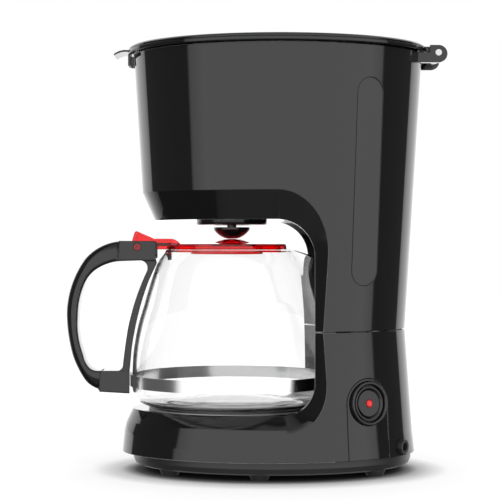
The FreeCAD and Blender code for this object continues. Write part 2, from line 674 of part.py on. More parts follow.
def makeBottomPan():
    corner = s.panCorner
    top = s.skirtHeight - s.slipFit
    slant = 1 - math.sqrt(0.5)
    outer = loft("PanOuter", [
        (s.panX, s.panBottom, s.panHalfLength - corner, s.panHalfWidth - corner),
        (s.panX, s.panBottom + corner * slant, s.panHalfLength - corner * slant,
         s.panHalfWidth - corner * slant),
        (s.panX, s.panBottom + corner, s.panHalfLength, s.panHalfWidth),
        (s.panX, top, s.panHalfLength, s.panHalfWidth)])
    inner = panPlate("PanInner", s.panWall + corner * slant, s.panBottom + s.panWall, top)
    holes = [post(f"PanScrewHole{i}", x, y, 0, 20, 1.9) for i, (x, y) in enumerate(panPosts)]
    sinks = [post(f"PanScrewSink{i}", x, y, 0, s.panBottom + 1.1, 3.6) for i, (x, y) in enumerate(panPosts)]
    seats = [post(f"FootSeat{i}", x, y, 0, s.panBottom + s.footSink, s.footRadius + s.runningFit)
             for i, (x, y) in enumerate(feet)]
    rim = [box(f"Vent{i}", s.panX - 20 + 10 * i, s.panX - 16 + 10 * i, -18, 18, 0, 20) for i in range(5)]
    node("bottom_pan", cut("BottomPan", outer, inner, *holes, *sinks, *seats, *rim))
    node("rubber_feet", group("RubberFeet", [
        turned(f"Foot{i}", [(0, 0), (s.footRadius - 1.6, 0), (s.footRadius, s.panBottom - 1),
                            (s.footRadius, s.panBottom + s.footSink), (0, s.panBottom + s.footSink)], x, y)
        for i, (x, y) in enumerate(feet)]))
    node("pan_screws", group("PanScrews", [
        screw(f"PanScrew{i}", x, y, s.panBottom + 1.1, 1.3, 3.3, 11) for i, (x, y) in enumerate(panPosts)]))


def screw(name, x, y, seat, shank, head, length):
    """A screw driven upwards, its head's upper face on the seat."""
    whole = turned(name + "Whole", [
        (0, seat - 1), (head - 0.5, seat - 1), (head, seat - 0.4), (head, seat), (shank, seat),
        (shank, seat + length - 1.5), (0, seat + length)], x, y)
    across = box(name + "Cross", x - 2, x + 2, y - 0.4, y + 0.4, seat - 1.2, seat - 0.5)
    along = box(name + "CrossAlong", x - 0.4, x + 0.4, y - 2, y + 2, seat - 1.2, seat - 0.5)
    return cut(name, whole, across, along)


# ---------------------------------------------------------------- water way
def tankForm(name, inset, floor, top):
    form = upperForm(name + "Form", s.wall + s.tankGap + inset)
    block = box(name + "Block", s.tankFront + inset, farAway, -farAway, farAway, floor, top)
    room = post(name + "Room", s.carafeX, 0, 0, s.rimHeight, s.tankFrontRadius + inset)
    return cut(name, overlap(name + "Part", form, block), room)


def makeWaterTank():
    outer = tankForm("TankOuter", Size("0", 0), s.tankFloor, s.tankTop)
    inner = tankForm("TankInner", s.tankWall, s.tankFloor + s.tankWall, s.tankTop + 1)
    ports = [post("OutletPort", s.portX, -s.portY, s.tankFloor - 1, s.tankFloor + 5, s.portRadius),
             post("RiserPort", s.portX, s.portY, s.tankFloor - 1, s.tankFloor + 5, s.portRadius)]
    node("water_tank", cut("WaterTank", outer, inner, *ports))


def makeWaterWay():
    low = s.tankFloor - 16
    radius = s.tubeRadius
    bore = radius - s.tubeWall
    floor = s.tankFloor + s.tankWall
    port = s.portRadius - 0.2
    node("check_valve", turned("CheckValve", [
        (bore, low), (radius, low), (radius, s.tankFloor - 1), (port, s.tankFloor), (port, floor),
        (port + 2, floor), (port + 2, floor + 1.6), (bore, floor + 1.6)], s.portX, -s.portY))
    ball = document.addObject("Part::Sphere", "CheckBall")
    bind(ball, Radius=bore - 0.4)
    node("check_ball", place(ball, s.portX, -s.portY, low + 7))
    node("riser_seal", turned("RiserSeal", [
        (radius + 0.02, s.tankFloor - 2), (port + 1.6, s.tankFloor - 2), (port + 1.6, s.tankFloor - 0.05),
        (port, s.tankFloor - 0.05), (port, floor + 0.05), (port + 1.6, floor + 0.05),
        (port + 1.6, floor + 2), (radius + 0.02, floor + 2)], s.portX, s.portY))
    node("riser_tube", tube("RiserTube", s.portX, s.portY, low, s.riserTop, bore, radius))
    for name, y in (("inlet_hose", -s.portY), ("riser_hose", s.portY)):
        corner = Vector(s.portX.value, y.value, s.tubeHeight.value)
        upper = Vector(corner.x, corner.y, s.tankFloor.value - 3)
        lower = Vector(s.tubeEnd.value - 7, corner.y, corner.z)
        inside = radius.value + s.runningFit.value
        outer = pipeAlong(name, [upper, corner, lower], [20.0], inside + 1.9)
        inner = pipeAlong(name, [upper, corner, lower], [20.0], inside)
        node(name, feature(name.title().replace("_", ""), outer.cut(inner)))
    clips = []
    for i, side in enumerate((-1, 1)):
        y = s.portY * side
        inside = radius + s.runningFit + 1.95
        clips.append(tube(f"ClipTop{i}", s.portX, y, s.tankFloor - 11, s.tankFloor - 6, inside, inside + 1))
        ring = lyingCylinder(f"ClipLowOuter{i}", s.tubeEnd - 6, y, s.tubeHeight, inside + 1, 5, "X")
        clips.append(cut(f"ClipLow{i}", ring,
                         lyingCylinder(f"ClipLowInner{i}", s.tubeEnd - 7, y, s.tubeHeight, inside, 7, "X")))
    node("hose_clips", group("HoseClips", clips))


def makeSprayArm():
    radius = s.tubeRadius.value
    height = s.sprayHeight.value
    start = Vector(s.portX.value, s.portY.value, s.riserTop.value - 10)
    corner = Vector(start.x, start.y, height)
    end = Vector(s.carafeX.value, 0, height)
    outer = feature("SprayOuter", pipeAlong("SprayOuter", [start, corner, end], [9.0], 4.6))
    inner = feature("SprayInner", pipeAlong("SprayInner", [start, corner, end], [9.0], 3.4))
    socket = post("SpraySocket", s.portX, s.portY, s.riserTop - 10, s.riserTop + 2, radius + 1.8)
    socketBore = post("SpraySocketBore", s.portX, s.portY, s.riserTop - 11, s.riserTop, radius + 0.05)
    head = post("SprayHead", s.carafeX, 0, s.sprayHeight - 4, s.sprayHeight + 4, 15)
    room = post("SprayRoom", s.carafeX, 0, s.sprayHeight - 2.6, s.sprayHeight + 2.6, 13.4)
    drips = []
    for i in range(8):
        angle = math.radians(45 * i)
        drips.append(post(f"SprayDrip{i}", s.carafeX + 8 * math.cos(angle), 8 * math.sin(angle),
                          s.sprayHeight - 5, s.sprayHeight, 1.4))
    node("spray_arm", cut("SprayArm", fuse("SprayWhole", outer, socket, head), inner, socketBore, room,
                          *drips))


# ---------------------------------------------------------------- brewing parts
def makeBrewing():
    floor = s.ceilingHeight + s.wall
    flange = s.basketTop - 2.2
    hold = s.basketRadius + 0.8
    node("basket_holder", turned("BasketHolder", [
        (s.outletRadius + s.outletGap, floor), (36, floor), (hold + 1.8, flange - 14),
        (hold + 1.8, flange - s.slipFit), (hold, flange - s.slipFit), (hold, flange - 13.2),
        (34, floor + 2), (s.outletRadius + s.outletGap, floor + 2)], s.carafeX))
    wall = s.basketWall
    outlet = s.outletRadius
    recess = s.bowlTop + s.valveTravel + 1.3
    node("filter_basket", turned("FilterBasket", [
        (s.stemRadius + 1.4, recess), (s.bowlRadius + 0.9, recess), (s.bowlRadius + 0.9, s.outletBottom),
        (outlet - 1.2, s.outletBottom), (outlet, s.outletBottom + 0.8, -0.2),
        (outlet, s.outletBottom + 1.5, -0.2),
        (outlet - 0.5, s.outletBottom + 1.7), (outlet - 0.5, s.outletBottom + 1.9),
        (outlet, s.outletBottom + 2.1), (outlet, s.basketFloor + 4), (s.basketRadius, s.basketTop - 9),
        (s.basketRadius, flange), (s.basketRadius + 4, flange), (s.basketRadius + 4, s.basketTop),
        (s.basketRadius - wall, s.basketTop), (s.basketRadius - wall, s.basketTop - 8.5),
        (outlet - wall, s.basketFloor + 5), (outlet - wall, s.basketFloor),
        (s.stemRadius + 1.4, s.basketFloor)], s.carafeX))
    cageTop = s.basketFloor + 18.5
    cage = turned("CageWhole", [
        (8.6, s.basketFloor), (10, s.basketFloor), (10, cageTop), (2.1, cageTop), (2.1, cageTop - 1.4),
        (8.6, cageTop - 1.4)], s.carafeX)
    windows = [box("CageWindowX", s.carafeX - 12, s.carafeX + 12, -3, 3, s.basketFloor + 1, cageTop - 5),
               box("CageWindowY", s.carafeX - 3, s.carafeX + 3, -12, 12, s.basketFloor + 1, cageTop - 5)]
    node("valve_cage", cut("ValveCage", cage, *windows))
    node("drip_stop_plunger", turned("DripStopPlunger", [
        (0, s.bowlTip), (3.6, s.bowlTip), (s.bowlRadius - 0.8, s.bowlTop - 2.8, -0.9),
        (s.bowlRadius, s.bowlTop - 1.6, -0.1), (s.bowlRadius, s.bowlTop),
        (s.bowlRadius - 1.6, s.bowlTop), (s.stemRadius, s.bowlTop - 3), (s.stemRadius, s.basketFloor + 3.1),
        (1.9, s.basketFloor + 3.1), (1.9, cageTop - 0.3), (0, cageTop - 0.3)], s.carafeX))
    node("drip_stop_seal", tube("DripStopSeal", s.carafeX, 0, s.basketFloor + 0.3, s.basketFloor + 2.5,
                                s.stemRadius + 0.02, 7.4))
    coilLow = s.basketFloor.value + 3.7
    coilHigh = value(cageTop) - 2
    helix = Part.makeHelix((coilHigh - coilLow) / 6, coilHigh - coilLow, 4.6)
    wire = Part.Wire([Part.makeCircle(0.4, Vector(4.6, 0, 0), Vector(0, 1, 0))])
    spring = Part.Wire(helix.Edges).makePipeShell([wire], True, True)
    spring.translate(Vector(s.carafeX.value, 0, coilLow))
    node("drip_spring", feature("DripSpring", spring))
    rim = s.basketRadius - wall - 0.8
    bottom = cageTop + 3.5
    meshWhole = turned("MeshWhole", [
        (0, bottom), (21, bottom), (rim, s.basketTop - 3), (rim, s.basketTop), (rim - 2.2, s.basketTop),
        (rim - 2.2, s.basketTop - 2.5), (20.2, bottom + 1), (0, bottom + 1)], s.carafeX)
    tab = box("MeshTab", s.carafeX - 5, s.carafeX + 5, rim - 3, rim, s.basketTop - 3, s.basketTop + 6)
    node("mesh_filter", fuse("MeshFilter", meshWhole, tab))


# ---------------------------------------------------------------- hot plate and heater
def horseshoe(name, bend, radius, end):
    """A bar bent into a U round the plate's centre, its legs running to the rear."""
    turn = document.addObject("Part::Torus", name + "Bend")
    bind(turn, Radius1=bend, Radius2=radius)
    turn.Angle3 = 180
    turn.Placement.Rotation = FreeCAD.Rotation(Vector(0, 0, 1), 90)
    place(turn, s.carafeX, 0, s.tubeHeight)
    legs = [lyingCylinder(f"{name}Leg{i}", s.carafeX, bend * side, s.tubeHeight, radius,
                          gap(s.carafeX, end), "X") for i, side in enumerate((-1, 1))]
    return fuse(name, turn, *legs)


def makeHeater():
    plateLow = s.plateTop - s.plateThickness
    node("warming_plate", turned("WarmingPlate", [
        (0, plateLow), (s.plateRadius, plateLow), (s.plateRadius, s.plateTop - 0.5),
        (s.plateRadius - 0.5, s.plateTop, -0.15), (0, s.plateTop)], s.carafeX))
    node("plate_seal", tube("PlateSeal", s.carafeX, 0, s.deckHeight, plateLow, s.plateRadius - 2,
                            s.plateRadius - 0.3))
    node("water_tube", cut("WaterTube", horseshoe("WaterTubeOut", s.tubeBend, s.tubeRadius, s.tubeEnd),
                           horseshoe("WaterTubeIn", s.tubeBend, s.tubeRadius - s.tubeWall, s.tubeEnd)))
    node("heating_element", horseshoe("HeatingElement", s.elementBend, s.elementRadius, s.tubeEnd - 11))
    low = s.tubeHeight + 2.5
    inner = s.elementBend - 6
    outer = s.tubeBend + 8
    end = s.carafeX + otherSide(s.plateRadius - s.castingInset, outer)
    form = post("CastingRound", s.carafeX, 0, low, plateLow, outer)
    legs = box("CastingLegs", s.carafeX, end, -outer, outer, low, plateLow)
    mouth = box("CastingMouth", s.carafeX + 22, end + 1, -inner, inner, low - 1, plateLow + 1)
    eye = post("CastingEye", s.carafeX, 0, low - 1, plateLow + 1, inner - 3)
    grooves = [horseshoe("WaterGroove", s.tubeBend, s.tubeRadius + 0.05, s.tubeEnd),
               horseshoe("ElementGroove", s.elementBend, s.elementRadius + 0.05, s.tubeEnd)]
    node("heater_casting", cut("HeaterCasting", fuse("CastingWhole", form, legs), mouth, eye, *grooves))
    node("thermostat", turned("Thermostat", [
        (0, low - 9), (2, low - 9), (2, low - 6.5), (6, low - 6.5), (6, low - 3), (7.6, low - 3),
        (7.6, low), (0, low)], s.carafeX + 16))
    node("thermal_fuse", lyingCylinder("ThermalFuse", s.carafeX + 10, 10.5, low - 2.2, 2.1, 12, "X"))
    strap = box("StrapBar", strapX - 3.5, strapX + 3.5, -strapBossY - 3, strapBossY + 3, s.strapTop - 1.5,
                s.strapTop)
    holes = [post(f"StrapBarHole{i}", strapX, y, s.strapTop - 3, s.strapTop + 3, 1.9)
             for i, y in enumerate((-strapBossY, strapBossY))]
    node("heater_strap", cut("HeaterStrap", strap, *holes))
    node("strap_screws", group("StrapScrews", [
        screw(f"StrapScrew{i}", strapX, y, s.strapTop - 1.5, 1.25, 3, 9)
        for i, y in enumerate((-strapBossY, strapBossY))]))


# ---------------------------------------------------------------- top lid
def makeTopLid():
    low = s.lidBottom
    layer = low + s.lidLayer
    groove = layer + s.lidGroove
    length = s.lidHalfLength
    width = s.lidHalfWidth
    rim = loft("LidRim", [(s.lidX, low, length - 0.5, width - 0.5), (s.lidX, low + 0.6, length, width),
                          (s.lidX, layer, length, width)])
    waist = loft("LidWaist", [(s.lidX, layer - 0.5, length - 1, width - 1),
                              (s.lidX, groove + 0.5, length - 1, width - 1)])
    crown = loft("LidCrown", [(s.lidX, groove, length - 0.4, width - 0.4),
                              (s.lidX, s.lidTop - 1.6, length - 0.7, width - 0.7),
                              (s.lidX, s.lidTop - 0.5, length - 2, width - 2),
                              (s.lidX, s.lidTop, length - 5, width - 5)])
    under = loft("LidUnder", [(s.lidX, low - 1, length - 5, width - 5),
                              (s.lidX, s.lidTop - s.lidWall, length - 5, width - 5)])
    shell = cut("LidShell", fuse("LidLayers", rim, waist, crown), under)
    inset = s.wall + 1.4
    around = s.rimHalfLength - inset
    across = s.rimHalfWidth - inset
    skirt = cut("LidSkirt",
                loft("SkirtOuter", [(s.bodyX, low - 5, around - 0.6, across - 0.6),
                                    (s.bodyX, s.lidTop - 1, around, across)]),
                loft("SkirtInner", [(s.bodyX, low - 6, around - 2, across - 2),
                                    (s.bodyX, s.lidTop - s.lidWall, around - 2, across - 2)]))
    front = s.lidX - length
    tab = pad("LidTab", [[(front + 4, low + 1.2), (front - 2, low + 1.2), (front - 9.4, low - 1.5, -0.5),
                          (front - 9.4, low - 0.3), (front - 2, low + 2.6, 0.6), (front + 4, low + 2.6)]], 26)
    prongs = [box(f"LatchProng{i}", front + 0.6, front + 2.6, y - 1.5, y + 1.5, low - 8.5, low + 1)
              for i, y in enumerate((-5, 5))]
    knuckleHalf = s.earInside - s.slipFit
    barrel = lyingCylinder("KnuckleBarrel", s.hingeX, -knuckleHalf, s.hingeHeight, 5, knuckleHalf * 2, "Y")
    arm = box("KnuckleArm", s.lidX + length - 6, s.hingeX, -knuckleHalf, knuckleHalf, low + 0.2,
              s.hingeHeight + 4.8)
    vents = [box(f"LidVent{i}", s.lidX - 42 + 7 * i, s.lidX - 39 + 7 * i, -14, 14, s.lidTop - 4, s.lidTop + 1)
             for i in range(5)]
    whole = fuse("LidWhole", shell, skirt, tab, barrel, arm, *prongs)
    pinHole = lyingCylinder("KnucklePinHole", s.hingeX, -30, s.hingeHeight,
                            s.hingePinRadius + s.runningFit, 60, "Y")
    node("top_lid", cut("TopLid", whole, pinHole, *vents))
    half = s.earInside + s.earThickness
    node("hinge_pin", lyingCylinder("HingePin", s.hingeX, -half, s.hingeHeight, s.hingePinRadius,
                                    half * 2, "Y"))


# ---------------------------------------------------------------- carafe
def glassOutline(inset):
    radius = s.glassRadius - inset
    low = s.glassBottom + inset
    mouth = s.mouthRadius - inset
    return [(0, low + 1.2), (46, low + 1.2), (50, low), (radius - 13.6, low),
            (radius, s.glassBottom + 12, -3.6), (radius, s.bandTop + 2.5),
            (radius - 8.6, s.glassTop - 42, -1.9), (mouth + 7.6, s.glassTop - 14.7, -0.3), (mouth, s.glassTop - 1.2, -0.7), (mouth, s.glassTop)]


def makeGlass():
    outline = glassOutline(Size("0", 0))
    lining = glassOutline(s.glassWall)
    outer = turned("GlassOuter", outline + [(0, s.glassTop)], s.carafeX)
    inner = turned("GlassInner", lining[:-1] + [(s.mouthRadius - s.glassWall, s.glassTop + 1),
                                                (0, s.glassTop + 1)], s.carafeX)
    spoutOuter = spoutForm("SpoutOuter", Size("0", 0))
    spoutInner = spoutForm("SpoutInner", s.glassWall)
    lip = s.carafeX + s.mouthRadius
    slope = pad("SpoutSlope", [[(lip - 8, s.glassTop), (lip + 14, s.glassTop - 6.2, -0.9),
                                (lip + 40, s.glassTop - 18), (lip + 40, s.glassTop + 30),
                                (lip - 80, s.glassTop + 30), (lip - 80, s.glassTop)]], 120)
    whole = fuse("GlassWhole", outer, spoutOuter)
    node("carafe_glass", cut("CarafeGlass", whole, inner, spoutInner, slope))


def spoutForm(name, inset):
    """The lip's form: a slanting horn from inside the shoulder out past the lip."""
    sections = []
    levels = ((-23.7, 31.1, 14.0), (-10.0, 10.1, 18.8), (-3.1, -2.0, 19.4), (0.4, -10.1, 19.8))
    for i, (x, drop, radius) in enumerate(levels):
        item = document.addObject("Part::Circle", f"{name}Section{i}")
        item.Placement.Rotation = FreeCAD.Rotation(Vector(0, 1, 0), 12)
        bind(item, Radius=radius - inset)
        place(item, s.carafeX + s.mouthRadius + x, 0, s.glassTop - drop)
        sections.append(item)
    item = document.addObject("Part::Loft", name)
    item.Sections = sections
    item.Solid = True
    item.Ruled = True
    return item


def makeBand():
    ring = tube("BandRing", s.carafeX, 0, s.bandBottom, s.bandTop, s.bandRadius - s.bandThickness,
                s.bandRadius)
    front = s.carafeX - s.bandRadius
    lug = box("BandLug", front - 1.6, front + 0.4, -6, 6, s.bandBottom, s.bandTop)
    hole = lyingCylinder("BandHole", front - 3, 0, s.screwHeight, 1.7, 6, "X")
    node("carafe_band", cut("CarafeBand", fuse("BandWhole", ring, lug), hole))
    head = lyingCylinder("HandleScrewHead", front - 13, 0, s.screwHeight, 3.4, 2.2, "X")
    shank = lyingCylinder("HandleScrewShank", front - 12, 0, s.screwHeight, 1.6, 11.8, "X")
    node("handle_screw", fuse("HandleScrew", head, shank))


def makeHandle():
    reach = s.handleReach
    outer = [(-73.8, 168.6), (-75.8, 170.7, -0.5), (-100.7, 170.8), (reach + 14, 157.6, -3.0),
             (reach, 116, -3.4), (reach + 4.4, 85.7, -1.0), (reach + 14, 66.5, -0.8),
             (reach + 28.3, 58.8, -1.6),
             (-94.9, 57.1), (-94.9, 73.2), (-92.6, 84), (-90.1, 102, 0.3), (-79.5, 140.4, 0.9),
             (-73.3, 154.6), (-73.8, 157)]
    inner = [(-85.3, 156.2, -0.9), (-98.7, 155.8), (-117.9, 150, -1.4), (-126.6, 140.4, -0.9),
             (reach + 9, 114.5, -1.5), (reach + 13, 85.8, -1.6), (-123.7, 76.1, -0.8),
             (-117.9, 73.9, -0.6), (-103.5, 73.9), (-98.6, 77.5, -1.2), (-94.9, 104.9, 0.2),
             (-80.5, 148.5, 1.4), (-80.5, 152.6, -0.3)]
    width = s.handleHalfWidth * 2
    frame = pad("HandleFrame", [outer, inner], width)
    block = pad("HandleBlock", [[(-102, 156.2), (-73.8, 156.2), (-73.8, 168.6), (-75.8, 170.7, -0.5),
                                 (-101, 170.8)]], width + 4)
    foot = pad("HandleFoot", [[(-116, 58.4), (-94.9, 57.1), (-94.9, 74), (-116, 74)]], width + 1)
    slot = box("LeverSlot", -96, -70, -s.leverHalfWidth - 0.4, s.leverHalfWidth + 0.4, 160, 175)
    pinHole = lyingCylinder("CapPinHole", s.pivotX, -20, s.pivotHeight, s.pivotRadius + s.runningFit, 40, "Y")
    rim = s.carafeX - s.mouthRadius
    inside = rim + s.glassWall + s.slipFit
    hook = pad("RimHook", [[
        (rim - 9.5, 158), (rim - 5.6, 158), (rim - 5.6, s.glassTop + 1.6), (rim - 4.4, s.glassTop + 2.7, 0.3),
        (inside, s.glassTop + 2.7), (inside, s.glassTop - 2.6), (inside - 1.8, s.glassTop - 3.4),
        (inside - 1.8, s.glassTop - 4.4), (inside - 0.6, s.glassTop - 6.2), (inside - 0.4, s.glassTop - 8.3),
        (inside + 2.3, s.glassTop - 8.3), (inside + 2.3, s.glassTop + 4.2),
        (inside + 1.3, s.glassTop + 5.2, -0.3), (rim - 5, s.glassTop + 5.2),
        (rim - 9.5, s.glassTop + 2.4, -0.7)]], 9)
    front = s.carafeX - s.bandRadius
    screwHole = lyingCylinder("HandleScrewHole", front - 14, 0, s.screwHeight, 1.7, 14, "X")
    headHole = lyingCylinder("HandleHeadHole", front - 32, 0, s.screwHeight, 3.6, 21.3, "X")
    lugRoom = box("LugRoom", front - 1.9, front + 5, -6.3, 6.3, s.bandBottom - 0.3, s.bandTop + 0.3)
    slotted = cut("HandleSlotted", fuse("HandleFused", frame, block, foot), slot)
    node("carafe_handle", cut("CarafeHandle", fuse("HandleWhole", slotted, hook), pinHole, screwHole,
                              headHole, lugRoom))


def makeCap():
    top = s.capTop
    low = s.capBottom
    edge = top - s.capFall
    wall = s.capWall
    under = s.glassTop + s.slipFit
    radius = s.capRadius
    step = s.capStepRadius
    skirt = s.capSkirtRadius
    plate = turned("CapPlate", [
        (0, top - wall), (skirt - wall, edge - wall + 0.5), (skirt - wall, low - 1.7), (skirt, low - 1.7),
        (skirt, edge - wall + 0.5), (step - wall, edge - wall), (step - wall, low), (step, low),
        (step, edge - wall), (radius - wall, edge - wall), (radius - wall, under), (radius, under),
        (radius - 0.6, edge - 0.6), (radius - 1.1, edge, -0.1), (16, top), (0, top)], s.capX)
    well = post("CapWell", s.carafeX, 0, top - 5, top + 5, s.domeRadius - 2.4)
    dome = turned("CapDome", [
        (0, s.domeTop - wall), (0.6, s.domeTop - wall), (s.domeRadius - 2.6, top - 0.9, 0.52),
        (s.domeRadius, top - 0.9), (s.domeRadius, top - 0.1), (0.6, s.domeTop, -0.76), (0, s.domeTop)],
        s.carafeX)
    half = s.leverHalfWidth
    rim = s.carafeX - s.mouthRadius
    lever = pad("CapLever", [[
        (s.pivotX - 4.1, 162.6), (s.pivotX + 4, 162.6), (s.pivotX + 6, under), (rim + 10, under),
        (rim + 11.5, edge - 0.3),
        (rim + 11.3, edge + 0.8), (rim + 5, 172.4, -0.7), (-75.2, 172.5), (-87, 177.6), (-90.2, 176.6, -0.9),
        (-91.8, 171.4)]], half * 2)
    room = pad("LeverRoom", [[
        (-90.2, 160), (rim + 5.3, 160), (rim + 5.3, 170.6), (rim + 4.7, 171.1), (-75.4, 171.1),
        (-86.9, 176.1), (-88.7, 175.5, -0.4), (-90.2, 171)]], (half - wall) * 2)
    bore = lyingCylinder("CapPinBore", s.pivotX, -20, s.pivotHeight, s.pivotRadius + 0.02, 40, "Y")
    drips = []
    for i in range(6):
        angle = math.radians(60 * i + 30)
        drips.append(post(f"CapDrip{i}", s.carafeX + 7 * math.cos(angle), 7 * math.sin(angle), top - 5,
                          top + 8, 1.3))
    disc = fuse("CapDisc", cut("CapOpened", plate, well), dome)
    node("carafe_lid", cut("CarafeLid", fuse("CapWhole", disc, lever), room, bore, *drips))
    pinHalf = s.handleHalfWidth + 2.2
    whole = lyingCylinder("CapPinBar", s.pivotX, -pinHalf, s.pivotHeight, s.pivotRadius, pinHalf * 2, "Y")
    ends = [lyingCylinder(f"CapPinEnd{i}", s.pivotX, y, s.pivotHeight, 1.2, 2, "Y")
            for i, y in enumerate((-pinHalf - 1, pinHalf - 1))]
    node("lid_pivot_pin", cut("LidPivotPin", whole, *ends))


makeUpperHousing()
makeGaugeWindow()
makeLowerHousing()
makeSwitchPanel()
makeSwitch()
makeCordGland()
makeBottomPan()
makeWaterTank()
makeWaterWay()
makeSprayArm()
makeBrewing()
makeHeater()
makeTopLid()
makeGlass()
makeBand()
makeHandle()
makeCap()

document.recompute()
failed = [item.Name for item in document.Objects if {"Invalid", "Error"} & set(item.State)]
failed += [item.Label for item in nodes
           if item.Shape.isNull() or not item.Shape.isValid() or not item.Shape.Solids]
if failed:
    raise SystemExit("These pieces didn't build: " + ", ".join(failed))

os.makedirs("parts", exist_ok=True)
for item in nodes:
    item.Shape.exportStep(f"parts/{item.Label}.step")
print(len(nodes), "nodes,", sum(len(item.Shape.Solids) for item in nodes), "solids")
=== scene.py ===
import json
import math

import bmesh
import bpy
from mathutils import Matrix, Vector
from mathutils.bvhtree import BVHTree

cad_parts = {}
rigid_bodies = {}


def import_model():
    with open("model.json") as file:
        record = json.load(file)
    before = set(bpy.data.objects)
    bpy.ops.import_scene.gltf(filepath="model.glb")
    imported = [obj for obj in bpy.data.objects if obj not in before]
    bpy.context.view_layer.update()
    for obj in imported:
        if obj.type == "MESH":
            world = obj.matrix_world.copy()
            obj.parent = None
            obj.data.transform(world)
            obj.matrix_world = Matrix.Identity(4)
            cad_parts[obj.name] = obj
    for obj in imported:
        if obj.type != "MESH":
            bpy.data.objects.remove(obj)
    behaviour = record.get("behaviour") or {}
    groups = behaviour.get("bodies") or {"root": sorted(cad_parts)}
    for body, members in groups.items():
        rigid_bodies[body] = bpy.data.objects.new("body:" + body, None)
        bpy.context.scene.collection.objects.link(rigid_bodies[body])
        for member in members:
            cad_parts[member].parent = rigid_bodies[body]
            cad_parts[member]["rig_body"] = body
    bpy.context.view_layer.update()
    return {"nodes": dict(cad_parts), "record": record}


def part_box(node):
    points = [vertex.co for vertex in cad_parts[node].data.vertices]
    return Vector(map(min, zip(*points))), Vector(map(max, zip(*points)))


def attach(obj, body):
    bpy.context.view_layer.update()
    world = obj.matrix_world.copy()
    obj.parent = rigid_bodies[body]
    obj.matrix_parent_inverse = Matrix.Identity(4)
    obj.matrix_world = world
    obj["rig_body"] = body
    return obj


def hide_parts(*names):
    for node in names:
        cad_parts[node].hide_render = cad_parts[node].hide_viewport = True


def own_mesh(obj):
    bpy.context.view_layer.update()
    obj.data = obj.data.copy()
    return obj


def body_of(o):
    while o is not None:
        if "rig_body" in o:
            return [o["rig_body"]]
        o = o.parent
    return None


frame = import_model()
nodes = frame["nodes"]
print("stage: frame loaded")

# camera
view = {"place": (-0.0038, -1.151, 0.164), "lens": 110.16, "sensor": 36.0, "far": 20.0}
cameraData = bpy.data.cameras.new("Camera")
cameraData.lens = view["lens"]
cameraData.sensor_width = view["sensor"]
cameraData.clip_end = view["far"]
camera = bpy.data.objects.new("Camera", cameraData)
camera.location = view["place"]
camera.rotation_euler = (math.radians(90), 0, 0)
bpy.context.scene.collection.objects.link(camera)
bpy.context.scene.camera = camera
bpy.context.scene.view_settings.view_transform = "Standard"


# shader helpers
def grey(level):
    return (level, level, level, 1)


class Nodes:
    def __init__(self, tree):
        self.tree = tree

    def add(self, kind, inputs=None, **settings):
        node = self.tree.nodes.new(kind)
        for name, setting in settings.items():
            setattr(node, name, setting)
        for name, given in (inputs or {}).items():
            self.feed(node.inputs[name], given)
        return node

    def feed(self, socket, given):
        if isinstance(given, bpy.types.NodeSocket):
            self.tree.links.new(given, socket)
        else:
            socket.default_value = given

    def math(self, operation, first, second=0.0, third=0.0):
        return self.add("ShaderNodeMath", {0: first, 1: second, 2: third}, operation=operation).outputs[0]

    def ramp(self, factor, stops):
        node = self.add("ShaderNodeValToRGB", {"Fac": factor})
        elements = node.color_ramp.elements
        while len(elements) > 1:
            elements.remove(elements[-1])
        for i, (place, shade) in enumerate(stops):
            element = elements[0] if i == 0 else elements.new(place)
            element.position = place
            element.color = shade if isinstance(shade, tuple) else grey(shade)
        return node.outputs["Color"]

    def mixShade(self, factor, first, second, blend="MIX"):
        return self.add("ShaderNodeMix", {0: factor, 6: first, 7: second},
                        data_type="RGBA", blend_type=blend).outputs[2]


def newMaterial(name):
    material = bpy.data.materials.new(name)
    material.use_nodes = True
    material.node_tree.nodes.clear()
    return material, Nodes(material.node_tree)


# world: white behind the object, soft panels for what reflects in it
# angles are in degrees from the front, steps are shares of a full turn
room = {"front": 1.68, "edge": 0.7, "dark": 0.12, "back": 1.6, "backEdge": 0.75, "diffuse": 0.8,
        "frontLeft": -63, "frontRight": 78, "soften": 12, "side": 122, "step": 0.003, "fade": 0.02,
        "through": 1.07, "inside": 0.4,
        "heights": [(0.0, 0.12), (0.28, 0.2), (0.41, 1.0), (0.85, 1.0), (0.95, 0.35)]}
world = bpy.data.worlds.new("World")
bpy.context.scene.world = world
world.use_nodes = True
world.node_tree.nodes.clear()
w = Nodes(world.node_tree)
direction = w.add("ShaderNodeSeparateXYZ", {0: w.add("ShaderNodeTexCoord").outputs["Generated"]})
azimuth = w.math("ARCTAN2", direction.outputs[0], w.math("MULTIPLY", direction.outputs[1], -1.0))
turn = w.math("ADD", w.math("DIVIDE", azimuth, 2 * math.pi), 0.5)


def at(angle):
    return angle / 360 + 0.5


front, frontEnd = room["front"], room["front"] * room["edge"]
back, backEnd = room["back"], room["back"] * room["backEdge"]
dark, step, fade = room["dark"], room["step"], room["fade"]
left, right, side = room["frontLeft"], room["frontRight"], room["side"]
panels = w.ramp(turn, [
    (0.0, back), (at(-side) - fade, back), (at(-side), backEnd), (at(-side) + step, dark),
    (at(left) - step, dark), (at(left), frontEnd), (at(left + room["soften"]), front),
    (at(right - room["soften"]), front), (at(right), frontEnd), (at(right) + step, dark),
    (at(side) - step, dark), (at(side), backEnd), (at(side) + fade, back), (1.0, back)])
upward = w.ramp(w.math("MULTIPLY_ADD", direction.outputs[2], 0.5, 0.5), room["heights"])
shaped = w.mixShade(1.0, panels, upward, "MULTIPLY")
path = w.add("ShaderNodeLightPath")
within = w.math("GREATER_THAN", path.outputs["Transmission Depth"], 0.5)
lifted = w.mixShade(1.0, shaped, grey(room["inside"]), "LIGHTEN")
shaped = w.mixShade(within, shaped, lifted)
seen = w.mixShade(path.outputs["Is Diffuse Ray"], shaped, grey(room["diffuse"]))
